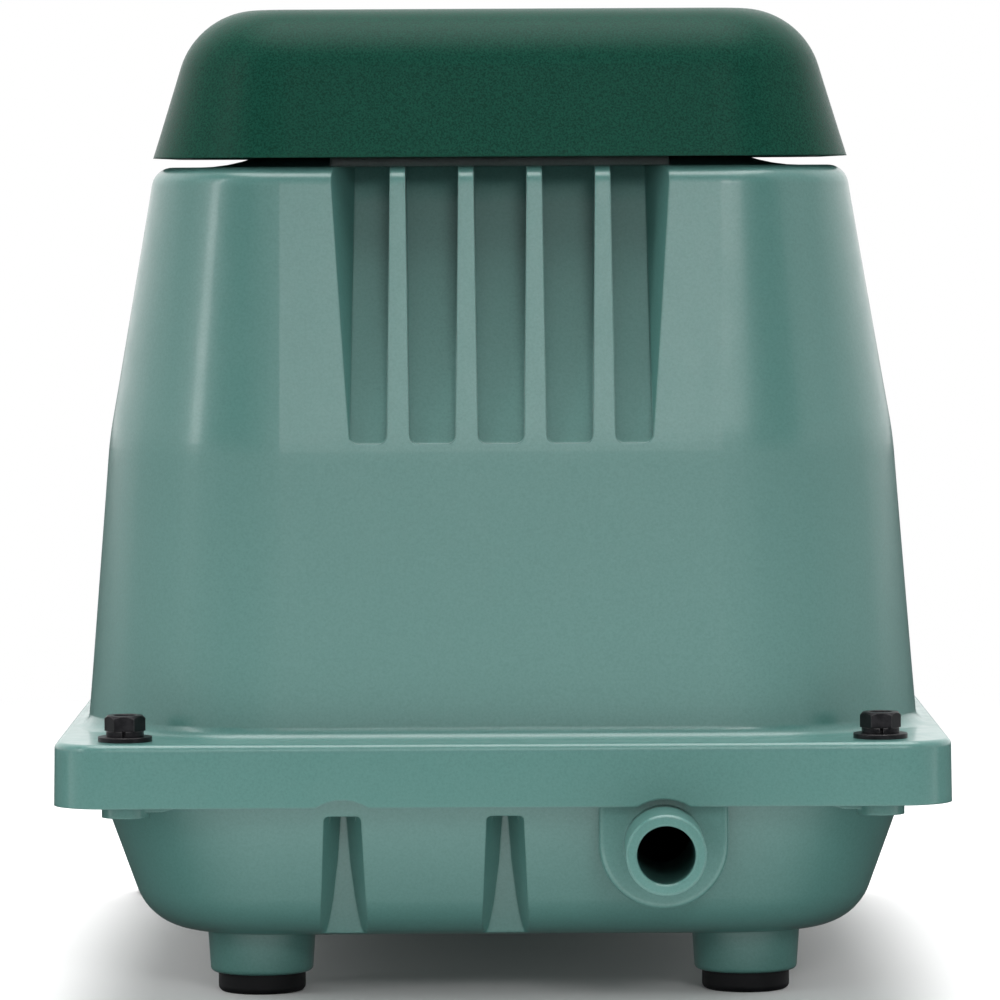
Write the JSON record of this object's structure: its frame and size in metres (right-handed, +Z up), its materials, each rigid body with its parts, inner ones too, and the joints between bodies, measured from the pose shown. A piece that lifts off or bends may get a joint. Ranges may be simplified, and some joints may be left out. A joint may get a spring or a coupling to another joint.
{
  "type": "air pump",
  "caption": "Linear diaphragm air pump: ribbed two-part cast casing on rubber feet, lift-off filter cover, side air outlet nozzle, electromagnetic pump unit inside and a mains cord.",
  "frame": {"origin": "on the ground, under the middle of the casing's footprint", "axes": "+Z up; the air outlet points along -Y; X runs across the pump, with the outlet on the +X side of the middle"},
  "size_m": [0.2024, 0.2764, 0.2264],
  "materials": {
    "casting_paint": "satin sea-green paint",
    "cover_plastic": "fine grained",
    "black_steel": "blackened",
    "zinc_steel": "zinc plated",
    "black_rubber": "matt",
    "flap_rubber": "smooth",
    "cord_jacket": "matt",
    "black_plastic": "moulded",
    "blade_brass": "plated",
    "filter_foam": "charcoal open foam",
    "plate_steel": "galvanised",
    "bare_aluminium": "die cast",
    "core_iron": "laminated",
    "magnet": "nickel plated",
    "coil_copper": "enamelled copper wire",
    "bobbin_plastic": "moulded",
    "chamber_plastic": "glass filled",
    "lead_wire": "silicone"
  },
  "bodies": {
    "base": {"tank": "casting_paint", "rubber_feet": "black_rubber", "foot_screws": "zinc_steel", "housing_gasket": "black_rubber", "cord_bushing": "black_rubber", "power_cord": "cord_jacket", "power_plug": "black_plastic", "plug_blades": "blade_brass", "cord_ties": "black_plastic", "tank_lid": "plate_steel", "tank_lid_gasket": "black_rubber", "tank_lid_screws": "zinc_steel", "vibration_mounts": "black_rubber", "mount_screws": "zinc_steel", "motor_frame": "bare_aluminium", "stator_core_left": "core_iron", "stator_core_right": "core_iron", "core_screws": "zinc_steel", "bobbin_left": "bobbin_plastic", "bobbin_right": "bobbin_plastic", "coil_left": "coil_copper", "coil_right": "coil_copper", "diaphragm_front": "black_rubber", "diaphragm_rear": "black_rubber", "chamber_block_front": "chamber_plastic", "chamber_block_rear": "chamber_plastic", "valve_gaskets": "black_rubber", "valve_cover_front": "chamber_plastic", "valve_cover_rear": "chamber_plastic", "chamber_screws": "zinc_steel", "outlet_hose_front": "black_rubber", "outlet_hose_rear": "black_rubber", "hose_clips": "zinc_steel", "terminal_block": "bobbin_plastic", "cord_clamp": "zinc_steel", "small_screws": "zinc_steel", "earth_lug": "zinc_steel", "coil_leads": "lead_wire", "thermal_protector": "black_plastic", "stop_switch": "black_plastic"},
    "housing": {"upper_housing": "casting_paint", "flange_bolts": "black_steel", "flat_washers": "black_steel", "spring_washers": "black_steel", "filter_element": "filter_foam"},
    "cover": {"filter_cover": "cover_plastic"},
    "cover_screw": {"filter_cover_screw": "zinc_steel"},
    "armature": {"armature_rod": "bare_aluminium", "magnets": "magnet", "diaphragm_plates": "bare_aluminium", "rod_nuts": "zinc_steel"},
    "inlet_flap_front": {"inlet_flap_front": "flap_rubber"},
    "inlet_flap_rear": {"inlet_flap_rear": "flap_rubber"},
    "outlet_flap_front": {"outlet_flap_front": "flap_rubber"},
    "outlet_flap_rear": {"outlet_flap_rear": "flap_rubber"},
    "stop_lever": {"stop_switch_lever": "bobbin_plastic"}
  },
  "joints": [
    {"name": "housing_lift", "type": "slide", "parent": "base", "child": "housing", "axis": [0, 0, 1], "range_m": [0, 0.15]},
    {"name": "cover_lift", "type": "slide", "parent": "housing", "child": "cover", "axis": [0, 0, 1], "range_m": [0, 0.06]},
    {"name": "cover_screw_turn", "type": "hinge", "parent": "cover", "child": "cover_screw", "pos_m": [0, 0, 0.2], "axis": [0, 0, 1], "continuous": true},
    {"name": "armature_stroke", "type": "slide", "parent": "base", "child": "armature", "axis": [0, 1, 0], "range_m": [-0.003, 0.003], "deforming": ["diaphragm_front", "diaphragm_rear"]},
    {"name": "inlet_flap_front_swing", "type": "hinge", "parent": "base", "child": "inlet_flap_front", "pos_m": [0, -0.061, 0.1402], "axis": [1, 0, 0], "range_deg": [0, 16]},
    {"name": "inlet_flap_rear_swing", "type": "hinge", "parent": "base", "child": "inlet_flap_rear", "pos_m": [0, 0.061, 0.1402], "axis": [-1, 0, 0], "range_deg": [0, 16]},
    {"name": "outlet_flap_front_swing", "type": "hinge", "parent": "base", "child": "outlet_flap_front", "pos_m": [0, -0.064, 0.1082], "axis": [-1, 0, 0], "range_deg": [0, 16]},
    {"name": "outlet_flap_rear_swing", "type": "hinge", "parent": "base", "child": "outlet_flap_rear", "pos_m": [0, 0.064, 0.1082], "axis": [1, 0, 0], "range_deg": [0, 16]},
    {"name": "stop_lever_swing", "type": "hinge", "parent": "base", "child": "stop_lever", "pos_m": [0, -0.0345, 0.1457], "axis": [-1, 0, 0], "range_deg": [0, 6]}
  ]
}
